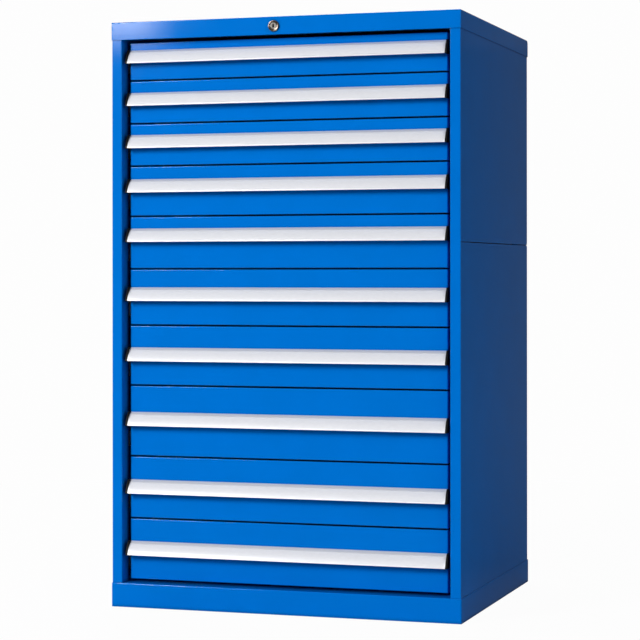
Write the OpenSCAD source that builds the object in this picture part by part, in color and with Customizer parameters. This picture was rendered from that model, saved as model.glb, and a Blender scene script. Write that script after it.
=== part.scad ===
// Steel drawer cabinet: a folded sheet housing, shallow drawers on full-extension slides,
// an aluminium grip on each drawer and one lock that holds them all.
// Millimetres. +Z is up, +X to the right, +Y to the rear. The origin is under the middle of the base.

/* [Cabinet] */
// Width over the base and the top cover
cabinet_w = 717; // [600:1:1000]
// Depth over the base and the top cover, without the lock
cabinet_d = 575; // [565:1:800]
// Height of the base
plinth_h = 47.5; // [30:0.5:120]
// Height of the top cover
cover_h = 35; // [33.5:0.5:60]
// Radius of the fold along the top cover's rear edge
cover_rear_r = 13; // [3:0.5:16]
// Height of the seam between the lower and the upper side panels
seam_z = 721.5; // [400:0.5:900]
// Open width of that seam
seam_gap = 1.5; // [0.5:0.1:4]
// Corner notch in each side panel where the seam meets the rear fold
seam_notch = 3; // [1:0.5:6]

/* [Sheet] */
// Thickness of the base and the top cover
shell_t = 1.5; // [1:0.1:1.8]
// Thickness of the posts and the top rail
post_t = 1.5; // [1:0.1:2]
// Thickness of the side panels
panel_t = 1.2; // [0.8:0.1:1.5]
// Thickness of the back panel
back_t = 1; // [0.8:0.1:2]
// Thickness of the floor pan
floor_t = 1.2; // [0.8:0.1:2]
// Thickness of the drawer fronts
front_t = 1.2; // [0.8:0.1:1.4]
// Thickness of the drawer trays
tray_t = 1; // [0.6:0.1:1.5]
// Gap that stands for the weld between two sheets
weld_gap = 0.1; // [0.05:0.05:0.3]
// Outer radius of the housing's folds
fold_r = 2; // [1.8:0.1:3]
// Outer radius of the drawer fronts' folds
front_fold_r = 1.5; // [1.4:0.1:3]

/* [Base] */
// Width of the shelf round the top of the base
shelf_w = 45; // [34:1:90]
// Width of the flange round the bottom of the base
foot_flange_w = 25; // [15:1:60]
// Side of the plate in each of the base's bottom corners
corner_plate_w = 85; // [76:1:140]
// Distance of the floor anchor holes from the base's sides
anchor_inset = 62; // [60:1:70]
// Radius of the floor anchor holes
anchor_r = 5.5; // [3:0.5:7]
// Radius of the floor pan's access hole over each anchor
anchor_access_r = 14; // [8:0.5:15]

/* [Posts] */
// Width of a front post's face
stile_w = 20.5; // [19:0.5:40]
// Depth of the front post's side that faces the drawers
return_d = 31; // [10:0.5:45]
// Depth of a front post with its mounting flange
post_d = 70; // [66:1:90]
// Depth of a rear post
rear_post_d = 40; // [30:1:60]
// Distance from the housing's side to a mounting flange's inner face
mount_inset = 13; // [12:0.5:16]
// Gap between a rear post and the side panel
rear_post_gap = 3; // [1:0.5:4]
// Depth of the top rail
rail_d = 30; // [15:1:60]
// Height of the top rail's lower edge over the top cover's lower edge
rail_lift = 1.5; // [0.5:0.5:2]

/* [Side and back panels] */
// Width of the side panels' rear flange
rear_flange_w = 18; // [12:1:30]
// Width of the side panels' seam flange
seam_flange_w = 8; // [3:0.5:8]
// Gap between the back panel and the side panels
back_side_gap = 0.8; // [0.3:0.1:3]
// Screws up each side panel's rear flange
screws_per_panel = 4; // [2:1:8]
// Distance of the end screws from a side panel's ends
screw_end = 55; // [45:1:100]
// Radius of a screw's shank
screw_r = 2; // [1.5:0.1:2.5]
// Radius of a screw's head
screw_head_r = 4; // [3:0.1:5]
// Height of a screw's head
screw_head_h = 1.4; // [0.8:0.1:1.5]
// Length of a screw under its head
screw_l = 8; // [5:0.5:12]
// Height of the floor pan's side walls
floor_wall_h = 8; // [3:0.5:12]

/* [Drawer fronts, from the top] */
// Height of the first front
front_h_1 = 73.5; // [64:0.5:200]
// Height of the second front
front_h_2 = 82.5; // [64:0.5:200]
// Height of the third front
front_h_3 = 81.5; // [64:0.5:200]
// Height of the fourth front
front_h_4 = 97; // [64:0.5:200]
// Height of the fifth front
front_h_5 = 101.5; // [64:0.5:200]
// Height of the sixth front
front_h_6 = 109; // [70:0.5:200]
// Height of the seventh front
front_h_7 = 116.5; // [75:0.5:200]
// Height of the eighth front
front_h_8 = 138; // [85:0.5:200]
// Height of the ninth front
front_h_9 = 120.5; // [80:0.5:200]
// Height of the tenth front
front_h_10 = 119.5; // [80:0.5:200]
// Gap between two fronts
drawer_gap = 3; // [2:0.1:8]
// Gap between the last front and the base
bottom_gap = 6.5; // [2:0.1:15]
// Gap between the first front and the top cover
top_gap = 5; // [3:0.1:20]
// Gap between a front's end and the post beside it
front_side_gap = 10; // [5:0.5:14]
// Distance of the fronts behind the posts' faces
recess = 20; // [20:0.5:26]
// Depth of a front's folded edges
front_d = 17; // [8:0.5:24]
// Height of the lips that carry a front on its tray
front_lip_h = 15; // [9:0.5:28]

/* [Grips, from the top] */
// Distance from the first front's top to its grip
grip_drop_1 = 14.5; // [3:0.5:36]
// Distance from the second front's top to its grip
grip_drop_2 = 22.5; // [3:0.5:36]
// Distance from the third front's top to its grip
grip_drop_3 = 21; // [3:0.5:36]
// Distance from the fourth front's top to its grip
grip_drop_4 = 24.5; // [3:0.5:36]
// Distance from the fifth front's top to its grip
grip_drop_5 = 22.5; // [3:0.5:36]
// Distance from the sixth front's top to its grip
grip_drop_6 = 35; // [3:0.5:41]
// Distance from the seventh front's top to its grip
grip_drop_7 = 42.5; // [3:0.5:46]
// Distance from the eighth front's top to its grip
grip_drop_8 = 51.5; // [3:0.5:56]
// Distance from the ninth front's top to its grip
grip_drop_9 = 45; // [3:0.5:51]
// Distance from the tenth front's top to its grip
grip_drop_10 = 44; // [3:0.5:51]
// Height of a grip
grip_h = 27; // [22:0.5:28]
// Reach of a grip in front of its drawer
grip_out = 19.5; // [14:0.5:20]
// Radius of a grip's curved face
grip_r = 50; // [30:1:120]
// Wall of a grip
grip_t = 2; // [1.2:0.1:2.5]
// Height of the web that fixes a grip to its drawer
grip_web_h = 12; // [8:0.5:14]
// Depth of the lip under a grip
grip_lip_d = 6; // [3:0.5:7]
// Distance of a grip's ends from its front's ends
grip_end_gap = 0.5; // [0:0.5:10]
// Thickness of a grip's end caps
grip_cap_t = 4; // [2:0.5:4.5]
// How far the end caps stand proud of the grip
grip_cap_proud = 0.5; // [0.2:0.1:1]
// Depth of an end cap's top
grip_cap_top = 7; // [4:0.5:10]
// Radius of an end cap's curved face
grip_cap_r = 80; // [60:5:200]
// Thickness of a grip's label strip
label_t = 0.4; // [0.2:0.1:0.4]
// Distance of a label strip's ends from the grip's ends
label_end = 3; // [1:0.5:20]
// Distance of a label strip's lower edge from the grip's lower edge
label_low = 3.5; // [2:0.5:8]
// Distance of a label strip's upper edge from the drawer
label_top = 6; // [1:0.5:8]

/* [Trays] */
// Space between the trays and the back panel, for the catches and the lock bar
rear_space = 71.8; // [58:0.1:200]
// Height of a tray's floor over its front's lower edge
tray_low = 4; // [2:0.5:6]
// Distance of a tray's rim below its front's upper edge
tray_top_gap = 8; // [3:0.5:12]
// Width of a tray's rim
tray_rim_w = 8; // [3:0.5:12]

/* [Slides] */
// Space beside a tray for its slide
slide_space = 29; // [26:0.5:35]
// Height of a slide's middle over its front's lower edge
slide_up = 30; // [28:0.5:34]
// Distance of a slide's front end behind the tray's front
slide_set = 10; // [4:1:40]
// Distance of a fixed runner's rear end before the back panel
runner_end = 7; // [2:1:20]
// Sheet of the slides
slide_t = 1.5; // [1:0.1:1.7]
// Height of a fixed runner
runner_h = 44; // [40:0.5:44]
// Height of a carriage
carriage_h = 34; // [32:0.5:36]
// Height of a tray rail
rail_h = 24; // [20:0.5:26]
// Width of a fixed runner, from the tray
runner_w = 18; // [17.5:0.1:20]
// Width of a carriage, from the tray
carriage_w = 14.5; // [14:0.1:15]
// Width of a tray rail
rail_w = 10; // [6:0.5:11]
// Running gap of the slides
slide_gap = 0.3; // [0.2:0.1:0.6]
// Length of a glide
glide_l = 60; // [20:1:90]
// Height of a runner's brackets
bracket_h = 30; // [15:1:40]
// Length of a runner's brackets
bracket_l = 18; // [10:1:19]

/* [Lock] */
// Lock's distance from the middle, to the right
lock_x = -16; // [-200:1:200]
// Lock's distance below the top
lock_drop = 18.5; // [18.5:0.5:20]
// Radius of the lock's bezel
bezel_r = 11; // [10:0.5:12]
// Reach of the bezel in front of the top cover
bezel_out = 3.5; // [1:0.5:6]
// Radius of the lock's barrel
barrel_r = 9; // [8.2:0.1:9.6]
// Length of the barrel behind the posts' faces
barrel_l = 20; // [12:1:28]
// Radius of the lock's plug
plug_r = 6.5; // [5:0.1:7.2]
// Running gap round the plug and the lock rod
lock_slip = 0.05; // [0.03:0.01:0.1]
// Width of the key slot
key_w = 2.6; // [1.5:0.1:3]
// Height of the key slot
key_h = 7; // [5:0.5:9]
// Depth of the key slot
key_d = 14; // [6:1:18]
// Width of the lock's nut across its corners
nut_w = 24; // [22:0.5:25]
// Thickness of the lock's nut
nut_t = 4; // [3:0.5:6]
// Radius of the lock rod
rod_r = 4; // [3:0.1:4.5]
// Lift of the lock bar
lock_lift = 5; // [4:0.5:7]
// Least radius of the lock rod's cam
cam_r = 5.5; // [5.1:0.1:5.5]
// Thickness of the cam
cam_t = 5; // [3:0.5:7]
// Gap between the cam and the lock bar's follower
cam_gap = 0.35; // [0.3:0.05:0.5]
// Radius of the lock bar's follower
follower_r = 0.8; // [0.4:0.1:0.8]
// Height of the bridge over the lock bar's follower
bridge_h = 1.5; // [1:0.1:1.8]
// Width of the lock bar
bar_w = 22; // [14:1:36]
// Thickness of the lock bar
bar_t = 3; // [2:0.5:4]
// Sliding gap between the lock bar and its guides
bar_slip = 0.3; // [0.2:0.1:0.5]
// Height of a bar guide
guide_h = 16; // [8:1:20]
// Sheet of the bar guides and the rod's bracket
guide_t = 1.5; // [1:0.1:1.8]

/* [Drawer catches] */
// Height of a drawer's catch over its front's lower edge
catch_up = 50; // [44:0.5:52]
// Reach of a catch behind its tray
catch_out = 14; // [12:0.5:20]
// Height of the lip that hangs from a catch
catch_lip_h = 10; // [9:0.5:14]
// Sheet of a catch
catch_t = 1.5; // [1:0.1:2.5]
// Width of a catch
catch_w = 20; // [10:1:30]
// Clearance between a catch's lip and the unlocked finger
finger_clear = 2; // [1:0.5:3]
// Thickness of a lock bar's finger
finger_t = 3; // [2:0.5:4]
// Width of a finger
finger_w = 12; // [6:1:20]
// Height of a finger over its arm
finger_h = 10; // [8:0.5:14]
// Gap between the catches and the lock bar
catch_gap = 4; // [3:0.5:6]

/* [Hidden] */
$fn = 64;
// How far a cut runs past the face that it opens
over = 1;

fronts = [
    front_h_1, front_h_2, front_h_3, front_h_4, front_h_5,
    front_h_6, front_h_7, front_h_8, front_h_9, front_h_10
];
grip_drops = [
    grip_drop_1, grip_drop_2, grip_drop_3, grip_drop_4, grip_drop_5,
    grip_drop_6, grip_drop_7, grip_drop_8, grip_drop_9, grip_drop_10
];
drawers = len(fronts);

// A drawer's node, such as drawer_03_tray
function drawer_node(i, piece) = str("drawer_", i < 9 ? "0" : "", i + 1, "_", piece);

// Finishes
blue = "#0a6fd0";
light_grey = "#c9cccf";
zinc = "#aeb2b6";
aluminium = "#d7d9de";
paper = "#e6e7ea";
black = "#15161a";

// Housing. Depths are measured from the posts' faces, in in_housing().
housing_x = cabinet_w / 2 - shell_t;
housing_d = cabinet_d - 2 * shell_t;
opening_x = housing_x - stile_w;
back_y = housing_d - panel_t - back_t;
mount_x = housing_x - mount_inset;

// Heights
function stack_below(i) = i >= drawers - 1 ? 0 : fronts[i + 1] + drawer_gap + stack_below(i + 1);
function front_z(i) = plinth_h + bottom_gap + stack_below(i);
cover_z = front_z(0) + fronts[0] + top_gap;
top_z = cover_z + cover_h;
panel_top_z = top_z - cover_rear_r;
lock_z = top_z - lock_drop;

// Drawers
front_x = opening_x - front_side_gap;
grip_x = front_x - grip_end_gap;
tray_x = opening_x - slide_space;
tray_y = recess + front_d;
tray_rear = back_y - rear_space;
slide_y = tray_y + slide_set;
slide_end = tray_rear - tray_t;

// The centre of an arc of radius r that bulges to the left of its way from a to b
function arc_centre(a, b, r) = (a + b) / 2
    - [a[1] - b[1], b[0] - a[0]] / norm(b - a) * sqrt(pow(r, 2) - pow(norm(b - a) / 2, 2));
// The grip's face runs from its top edge to its lip, in [out, up].
grip_centre = arc_centre([0, 0], [grip_out, -grip_h], grip_r);

// Lock
bar_y = tray_rear + catch_out + catch_gap;
finger_y = tray_rear + (catch_out - catch_t - finger_t) / 2;
cam_y = bar_y + (bar_t - cam_t) / 2;
rod_bracket_y = bar_y + bar_t + 10;
bar_head_wall = 6;
window_x = cam_r + lock_lift + 2;
window_low = cam_r + lock_lift + 1.5;
follower_h = 2;
guided_drawers = [1, 5, 9];
function catch_z(i) = front_z(i) + catch_up;
function finger_z(i) = catch_z(i) - catch_lip_h - finger_clear - finger_h;

module in_housing() {
    translate([0, -housing_d / 2, 0]) children();
}

module both_sides() {
    children();
    mirror([1, 0, 0]) children();
}

// A box from its low and high places along each axis
module span(x, y, z) {
    translate([x[0], y[0], z[0]]) cube([x[1] - x[0], y[1] - y[0], z[1] - z[0]]);
}

// What a fold of radius r leaves outside, for a corner at the origin with its sheet in +x and +y
module fold_waste(r) {
    difference() {
        translate([-over, -over]) square(r + over);
        translate([r, r]) circle(r);
    }
}

// A rectangle with its own radius at each corner, counted from the low one, anticlockwise
module outline(x, y, r) {
    difference() {
        translate([x[0], y[0]]) square([x[1] - x[0], y[1] - y[0]]);
        if (r[0] > 0) translate([x[0], y[0]]) fold_waste(r[0]);
        if (r[1] > 0) translate([x[1], y[0]]) mirror([1, 0]) fold_waste(r[1]);
        if (r[2] > 0) translate([x[1], y[1]]) rotate(180) fold_waste(r[2]);
        if (r[3] > 0) translate([x[0], y[1]]) mirror([0, 1]) fold_waste(r[3]);
    }
}

// A box whose folded edges are round, by its outlines from above, from the front and from the side
module folded(x, y, z, above = [0, 0, 0, 0], ahead = [0, 0, 0, 0], beside = [0, 0, 0, 0]) {
    intersection() {
        translate([0, 0, z[0]]) linear_extrude(z[1] - z[0]) outline(x, y, above);
        translate([0, y[1], 0]) rotate([90, 0, 0]) linear_extrude(y[1] - y[0]) outline(x, z, ahead);
        translate([x[0], 0, 0]) rotate([90, 0, 90]) linear_extrude(x[1] - x[0]) outline(y, z, beside);
    }
}

// A round bar along Y
module bar_along(r, y, x = 0, z = 0) {
    translate([x, y[1], z]) rotate([90, 0, 0]) cylinder(h = y[1] - y[0], r = r);
}

// ---- Housing ----

// Children at each of the floor anchors, and mirrored so that the corner is towards +X and +Y
module at_anchors() {
    for (x = [0, 1], y = [0, 1]) mirror([x, 0, 0]) mirror([0, y, 0]) {
        translate([cabinet_w / 2 - anchor_inset, cabinet_d / 2 - anchor_inset, 0]) children();
    }
}

module base_plinth() {
    half_w = cabinet_w / 2;
    half_d = cabinet_d / 2;
    plate = corner_plate_w - anchor_inset;
    color(blue) difference() {
        folded(
            [-half_w, half_w], [-half_d, half_d], [0, plinth_h],
            above = [fold_r, fold_r, fold_r, fold_r],
            ahead = [0, 0, fold_r, fold_r],
            beside = [0, 0, fold_r, fold_r]
        );
        span(
            [-half_w + shell_t, half_w - shell_t], [-half_d + shell_t, half_d - shell_t],
            [shell_t, plinth_h - shell_t]
        );
        span(
            [-half_w + shelf_w, half_w - shelf_w], [-half_d + shelf_w, half_d - shelf_w],
            [shell_t, plinth_h + over]
        );
        difference() {
            span(
                [-half_w + foot_flange_w, half_w - foot_flange_w],
                [-half_d + foot_flange_w, half_d - foot_flange_w], [-over, 2 * shell_t]
            );
            at_anchors() span([-plate, anchor_inset], [-plate, anchor_inset], [-over, shell_t]);
        }
        at_anchors() translate([0, 0, -over]) cylinder(h = shell_t + 2 * over, r = anchor_r);
    }
}

module floor_pan() {
    pan_x = mount_x - 1;
    pan_y = [return_d + 3, back_y];
    color(blue) difference() {
        in_housing() span([-pan_x, pan_x], pan_y, [plinth_h, plinth_h + floor_wall_h]);
        in_housing() span(
            [-pan_x + floor_t, pan_x - floor_t], [pan_y[0] - over, pan_y[1] + over],
            [plinth_h + floor_t, plinth_h + floor_wall_h + over]
        );
        at_anchors() translate([0, 0, plinth_h - over])
            cylinder(h = floor_t + 2 * over, r = anchor_access_r);
    }
}

// The places of a side panel's screws, up its height z
function screw_rows(z) = [
    for (k = [0 : screws_per_panel - 1])
        z[0] + screw_end + k * (z[1] - z[0] - 2 * screw_end) / (screws_per_panel - 1)
];
rear_post_x = [mount_x, housing_x - panel_t - rear_post_gap];
screw_x = (rear_post_x[0] + rear_post_x[1]) / 2;
lower_panel_z = [plinth_h, seam_z - seam_gap / 2];
upper_panel_z = [seam_z + seam_gap / 2, panel_top_z];

module screw_holes() {
    for (z = concat(screw_rows(lower_panel_z), screw_rows(upper_panel_z))) {
        bar_along(screw_r + 0.1, [back_y - post_t - over, housing_d + over], x = screw_x, z = z);
    }
}

// A right-hand side panel between two heights, with its seam at its upper or its lower end
module side_panel(z, seam_up) {
    seam_end = seam_up ? z[1] : z[0];
    inward = seam_up ? -1 : 1;
    flange = seam_end + inward * panel_t;
    notch = seam_end + inward * seam_notch;
    past = seam_end - inward * over;
    inner_x = housing_x - panel_t;
    in_housing() difference() {
        union() {
            difference() {
                folded(
                    [housing_x - rear_flange_w, housing_x], [post_t, housing_d], z,
                    above = [0, 0, fold_r, 0]
                );
                span(
                    [housing_x - rear_flange_w - over, inner_x], [0, housing_d - panel_t],
                    [z[0] - over, z[1] + over]
                );
            }
            span(
                [inner_x - seam_flange_w, inner_x], [return_d + 2, back_y - rear_post_d - 2],
                [min(seam_end, flange), max(seam_end, flange)]
            );
        }
        span(
            [housing_x - seam_notch, housing_x + over], [housing_d - seam_notch, housing_d + over],
            [min(notch, past), max(notch, past)]
        );
        screw_holes();
    }
}

module right_lower_side_panel() {
    color(blue) side_panel(lower_panel_z, true);
}

module right_upper_side_panel() {
    color(blue) side_panel(upper_panel_z, false);
}

module left_lower_side_panel() {
    color(blue) mirror([1, 0, 0]) side_panel(lower_panel_z, true);
}

module left_upper_side_panel() {
    color(blue) mirror([1, 0, 0]) side_panel(upper_panel_z, false);
}

module back_panel() {
    half = housing_x - panel_t - back_side_gap;
    color(blue) in_housing() difference() {
        span([-half, half], [back_y, back_y + back_t], [plinth_h, panel_top_z]);
        both_sides() screw_holes();
    }
}

module panel_screws() {
    color(zinc) in_housing() both_sides() {
        for (z = concat(screw_rows(lower_panel_z), screw_rows(upper_panel_z))) {
            bar_along(screw_head_r, [housing_d, housing_d + screw_head_h], x = screw_x, z = z);
            bar_along(screw_r, [housing_d - screw_l, housing_d], x = screw_x, z = z);
        }
    }
}

module top_cover() {
    half_w = cabinet_w / 2;
    half_d = cabinet_d / 2;
    color(blue) difference() {
        folded(
            [-half_w, half_w], [-half_d, half_d], [cover_z, top_z],
            above = [fold_r, fold_r, fold_r, fold_r],
            ahead = [0, 0, fold_r, fold_r],
            beside = [0, 0, cover_rear_r, fold_r]
        );
        folded(
            [-half_w + shell_t, half_w - shell_t], [-half_d + shell_t, half_d - shell_t],
            [cover_z - over, top_z - shell_t],
            beside = [0, 0, cover_rear_r - shell_t, 0]
        );
        in_housing() bar_along(barrel_r + 0.2, [-shell_t - over, over], x = lock_x, z = lock_z);
    }
}

module top_rail() {
    low = cover_z + rail_lift;
    high = top_z - shell_t;
    color(blue) in_housing() difference() {
        span([-opening_x, opening_x], [0, rail_d], [low, high]);
        span(
            [-opening_x - over, opening_x + over], [post_t, rail_d + over],
            [low + post_t, high - post_t]
        );
        bar_along(barrel_r + 0.2, [-over, post_t + over], x = lock_x, z = lock_z);
    }
}

// The right-hand front post from above: face, side that faces the drawers, step and mounting flange
module front_post() {
    outer = housing_x - panel_t;
    flange_d = return_d - 1;
    section = [
        [housing_x, 0],
        [opening_x, 0],
        [opening_x, return_d],
        [mount_x, return_d],
        [mount_x, post_d],
        [mount_x + post_t, post_d],
        [mount_x + post_t, return_d - post_t],
        [opening_x + post_t, return_d - post_t],
        [opening_x + post_t, post_t],
        [outer - post_t, post_t],
        [outer - post_t, flange_d],
        [outer, flange_d],
        [outer, post_t],
        [housing_x, post_t]
    ];
    in_housing() translate([0, 0, plinth_h]) linear_extrude(top_z - shell_t - plinth_h) difference() {
        polygon(section);
        translate([opening_x, 0]) fold_waste(fold_r);
    }
}

module right_front_post() {
    color(blue) front_post();
}

module left_front_post() {
    color(blue) mirror([1, 0, 0]) front_post();
}

module rear_posts() {
    hollow_x = rear_post_x + [post_t, -post_t];
    color(blue) in_housing() both_sides() difference() {
        span(rear_post_x, [back_y - rear_post_d, back_y], [plinth_h, panel_top_z]);
        span(
            hollow_x, [back_y - rear_post_d - over, back_y - post_t], [plinth_h - over, panel_top_z + over]
        );
        screw_holes();
    }
}

// ---- Slides. Widths are measured outwards from the tray's right side. ----

// A channel along Y that is open on one side: its web is at the end "web" of its width
module channel(w, h, y, web_outside) {
    x = [tray_x + w[0], tray_x + w[1]];
    hollow = web_outside ? [x[0] - over, x[1] - slide_t] : [x[0] + slide_t, x[1] + over];
    difference() {
        span(x, y, [-h / 2, h / 2]);
        span(hollow, [y[0] - over, y[1] + over], [-h / 2 + slide_t, h / 2 - slide_t]);
    }
}

// A pair of glides, over and under the middle, between two heights
module glides(w, z, y) {
    for (side = [0, 1]) mirror([0, 0, side]) {
        span([tray_x + w[0], tray_x + w[1]], y, z);
    }
}

glide_w = [4, carriage_w - 1];
runner_glide_z = [carriage_h / 2 + slide_gap, runner_h / 2 - slide_t];
carriage_glide_z = [carriage_h / 2, runner_h / 2 - slide_t - slide_gap];
rail_glide_z = [rail_h / 2, carriage_h / 2 - slide_t - slide_gap];
inner_glide_z = [rail_h / 2 + slide_gap, carriage_h / 2 - slide_t];
inner_glide_w = [3, rail_w - 0.5];

module runner_bracket(y, tab) {
    web_x = tray_x + runner_w;
    z = [-bracket_h / 2, bracket_h / 2];
    span([web_x, mount_x], y, z);
    span([web_x, web_x + slide_t], tab, z);
    span([mount_x - slide_t, mount_x], tab, z);
}

module fixed_runner() {
    end = back_y - runner_end;
    front_tab = [post_d - 2 - bracket_l, post_d - 2];
    rear_tab = [end - bracket_l, end];
    union() {
        channel([2.5, runner_w], runner_h, [slide_y, end], true);
        glides(glide_w, runner_glide_z, [slide_y, slide_y + glide_l]);
        runner_bracket([front_tab[0], front_tab[0] + slide_t], front_tab);
        runner_bracket([rear_tab[1] - slide_t, rear_tab[1]], rear_tab);
    }
}

module runners() {
    color(zinc) in_housing() for (i = [0 : drawers - 1]) {
        translate([0, 0, front_z(i) + slide_up]) fixed_runner();
    }
}

module right_runners() {
    runners();
}

module left_runners() {
    mirror([1, 0, 0]) runners();
}

module drawer_carriages(i) {
    in_housing() both_sides() translate([0, 0, front_z(i) + slide_up]) {
        color(zinc) channel([2, carriage_w], carriage_h, [slide_y, slide_end], true);
        color(black) glides(glide_w, carriage_glide_z, [slide_end - glide_l, slide_end]);
        color(black) glides(inner_glide_w, inner_glide_z, [slide_y, slide_y + glide_l]);
    }
}

module tray_rail() {
    union() {
        channel([0, rail_w], rail_h, [slide_y, slide_end], false);
        glides(inner_glide_w, rail_glide_z, [slide_end - glide_l, slide_end]);
    }
}

// ---- Drawers ----

module drawer_front(i) {
    z = [front_z(i), front_z(i) + fronts[i]];
    inner_x = front_x - front_t;
    color(blue) in_housing() difference() {
        folded(
            [-front_x, front_x], [recess, recess + front_d], z,
            above = [front_fold_r, front_fold_r, 0, 0],
            beside = [front_fold_r, 0, 0, front_fold_r]
        );
        span(
            [-inner_x, inner_x], [recess + front_t, recess + front_d - front_t],
            [z[0] + front_t, z[1] - front_t]
        );
        span(
            [-inner_x, inner_x], [recess + front_t, recess + front_d + over],
            [z[0] + front_lip_h, z[1] - front_lip_h]
        );
    }
}

module drawer_tray(i) {
    z = [front_z(i) + tray_low, front_z(i) + fronts[i] - tray_top_gap];
    inner_x = tray_x - tray_t;
    bottom_y = [tray_y + tray_t + weld_gap, tray_rear - tray_t - weld_gap];
    catch_x = [lock_x - catch_w / 2, lock_x + catch_w / 2];
    catch_end = tray_rear + catch_out;
    in_housing() {
        // One sheet makes the bottom, the sides and their rims. The front and rear walls are welded on.
        color(light_grey) difference() {
            union() {
                span([-tray_x, tray_x], bottom_y, z);
                both_sides() {
                    span([tray_x - over, tray_x + tray_rim_w], bottom_y, [z[1] - tray_t, z[1]]);
                }
            }
            span(
                [-inner_x, inner_x], [bottom_y[0] - over, bottom_y[1] + over],
                [z[0] + tray_t, z[1] + over]
            );
        }
        color(light_grey) {
            span([-tray_x, tray_x], [tray_y, tray_y + tray_t], z);
            span([-tray_x, tray_x], [tray_rear - tray_t, tray_rear], z);
        }
        color(zinc) union() {
            span(catch_x, [tray_rear + weld_gap, catch_end], [catch_z(i), catch_z(i) + catch_t]);
            span(catch_x, [catch_end - catch_t, catch_end], [catch_z(i) - catch_lip_h, catch_z(i)]);
        }
        color(zinc) both_sides() translate([weld_gap, 0, front_z(i) + slide_up]) tray_rail();
    }
}

// A grip's section drawn in [out, up] from its top edge, run along X
module along_grip(x) {
    translate([x[0], recess, 0]) rotate([90, 0, 90]) linear_extrude(x[1] - x[0]) mirror([1, 0]) children();
}

module grip_disc(r) {
    translate(grip_centre) circle(r, $fn = 180);
}

module grip_section() {
    intersection() {
        difference() {
            grip_disc(grip_r);
            grip_disc(grip_r - grip_t);
        }
        translate([0, -grip_h]) square([grip_out, grip_h]);
    }
    translate([0, -grip_web_h]) square([grip_t, grip_web_h - grip_t]);
    translate([grip_out - grip_lip_d, -grip_h]) square([grip_lip_d - grip_t / 2, grip_t]);
}

module label_section() {
    low = -grip_h + label_low;
    intersection() {
        difference() {
            grip_disc(grip_r + label_t);
            grip_disc(grip_r);
        }
        translate([label_top, low]) square([grip_out, -low]);
    }
}

module grip_cap_section() {
    low = -grip_h - grip_cap_proud;
    intersection() {
        translate([0, low]) square([grip_out + grip_cap_proud, grip_cap_proud - low]);
        translate(arc_centre([grip_cap_top, grip_cap_proud], [grip_out + grip_cap_proud, low], grip_cap_r))
            circle(grip_cap_r, $fn = 180);
    }
}

module drawer_grip(i) {
    label_x = grip_x - label_end;
    in_housing() translate([0, 0, front_z(i) + fronts[i] - grip_drops[i]]) {
        color(aluminium) along_grip([-grip_x, grip_x]) grip_section();
        color(paper) along_grip([-label_x, label_x]) label_section();
        color(black) both_sides() along_grip([grip_x, grip_x + grip_cap_t]) grip_cap_section();
    }
}

// ---- Lock ----

module lock_housing() {
    color(zinc) in_housing() translate([lock_x, 0, lock_z]) {
        difference() {
            union() {
                bar_along(bezel_r, [-shell_t - bezel_out, -shell_t]);
                bar_along(barrel_r, [-shell_t - over, barrel_l]);
            }
            bar_along(plug_r + lock_slip, [-shell_t - bezel_out - over, barrel_l + over]);
        }
        difference() {
            translate([0, post_t + nut_t, 0]) rotate([90, 0, 0]) cylinder(h = nut_t, r = nut_w / 2, $fn = 6);
            bar_along(barrel_r + lock_slip, [post_t - over, post_t + nut_t + over]);
        }
    }
}

module lock_plug() {
    face = -shell_t - bezel_out + 0.5;
    color(light_grey) in_housing() translate([lock_x, 0, lock_z]) difference() {
        bar_along(plug_r, [face, barrel_l]);
        span([-key_w / 2, key_w / 2], [face - over, face + key_d], [-key_h / 2, key_h / 2]);
    }
}

// The cam's radius grows evenly with the angle from its top, anticlockwise from the front
function cam_radius(angle) = angle < 0 || angle > 100 ? cam_r : cam_r + lock_lift * min(angle, 90) / 90;

module cam_outline() {
    polygon([for (a = [-4 : 4 : 352]) cam_radius(a) * [-sin(a), cos(a)]]);
}

module lock_rod() {
    color(zinc) in_housing() translate([lock_x, 0, lock_z]) union() {
        bar_along(rod_r, [barrel_l, rod_bracket_y + 2 * bar_t]);
        translate([0, cam_y + cam_t, 0]) rotate([90, 0, 0]) linear_extrude(cam_t) cam_outline();
    }
}

module lock_bar() {
    y = [bar_y, bar_y + bar_t];
    low = finger_z(drawers - 1) - 2 * finger_t;
    follower_z = lock_z + cam_r + cam_gap;
    head_z = [lock_z - window_low - bar_head_wall, follower_z + follower_h + bridge_h];
    head_x = window_x + bar_head_wall;
    color(zinc) in_housing() translate([lock_x, 0, 0]) {
        union() {
            span([-bar_w / 2, bar_w / 2], y, [low, head_z[0] + over]);
            difference() {
                span([-head_x, head_x], y, head_z);
                span(
                    [-window_x, window_x], [y[0] - over, y[1] + over],
                    [lock_z - window_low, follower_z + follower_h]
                );
            }
            bar_along(follower_r, y, z = follower_z + follower_r);
            span([-follower_r, follower_r], y, [follower_z + follower_r, follower_z + follower_h + over]);
        }
        for (i = [0 : drawers - 1]) translate([0, 0, finger_z(i)]) union() {
            span([-finger_w / 2, finger_w / 2], [finger_y, bar_y - weld_gap], [-finger_t, 0]);
            span([-finger_w / 2, finger_w / 2], [finger_y, finger_y + finger_t], [-over, finger_h]);
        }
    }
}

module bar_guide() {
    slot_x = bar_w / 2 + bar_slip;
    slot_y = [bar_y - bar_slip, bar_y + bar_t + bar_slip];
    difference() {
        span([-slot_x - guide_t, slot_x + guide_t], [slot_y[0] - guide_t, back_y], [0, guide_h]);
        span([-slot_x, slot_x], slot_y, [-over, guide_h + over]);
        span([-slot_x, slot_x], [slot_y[1] + guide_t, back_y - guide_t], [-over, guide_h + over]);
    }
}

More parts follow.
